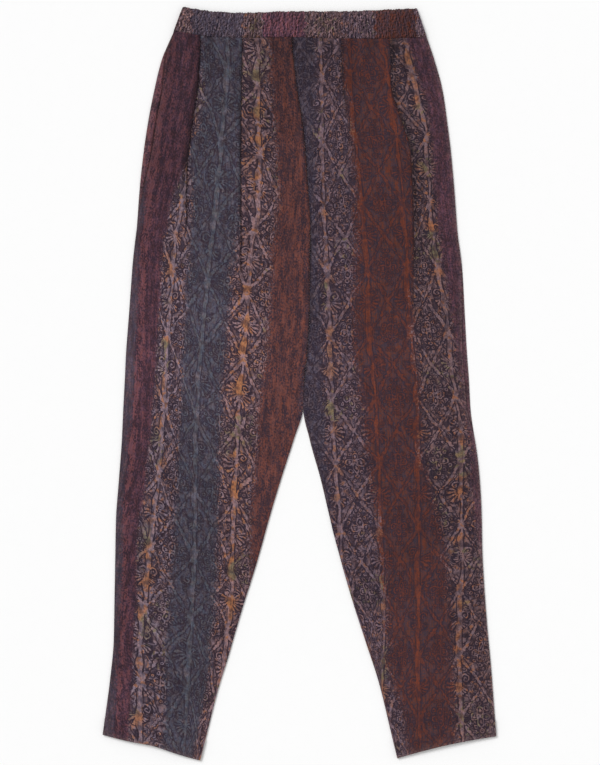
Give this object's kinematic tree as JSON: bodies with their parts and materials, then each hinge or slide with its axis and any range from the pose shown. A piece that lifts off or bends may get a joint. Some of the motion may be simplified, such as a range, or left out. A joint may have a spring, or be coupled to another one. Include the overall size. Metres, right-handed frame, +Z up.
{
  "type": "harem pants laid flat",
  "caption": "Loose drop-crotch trousers laid flat on their back, with a gathered elastic waistband, knife pleats, a side pocket and tapered legs with plain hems.",
  "frame": {"origin": "on the surface the pants lie on, under the middle of their outline", "axes": "+Y along the pants to the waist, +Z up out of their front, +X to the wearer's left"},
  "size_m": [0.5362, 1.026, 0.0077],
  "materials": {
    "front_panel_right": "batik-printed rayon, soft low sheen",
    "front_panel_left": "batik-printed rayon, soft low sheen",
    "back_panel_right": "batik-printed rayon, soft low sheen",
    "back_panel_left": "batik-printed rayon, soft low sheen",
    "waistband_front": "batik-printed rayon gathered over elastic",
    "waistband_back": "batik-printed rayon gathered over elastic",
    "pocket_facing_right": "batik-printed rayon, matt"
  },
  "bodies": {
    "root": {"front_panel_right": "front_panel_right", "front_panel_left": "front_panel_left", "back_panel_right": "back_panel_right", "back_panel_left": "back_panel_left", "waistband_front": "waistband_front", "waistband_back": "waistband_back", "pocket_facing_right": "pocket_facing_right"}
  },
  "joints": []
}
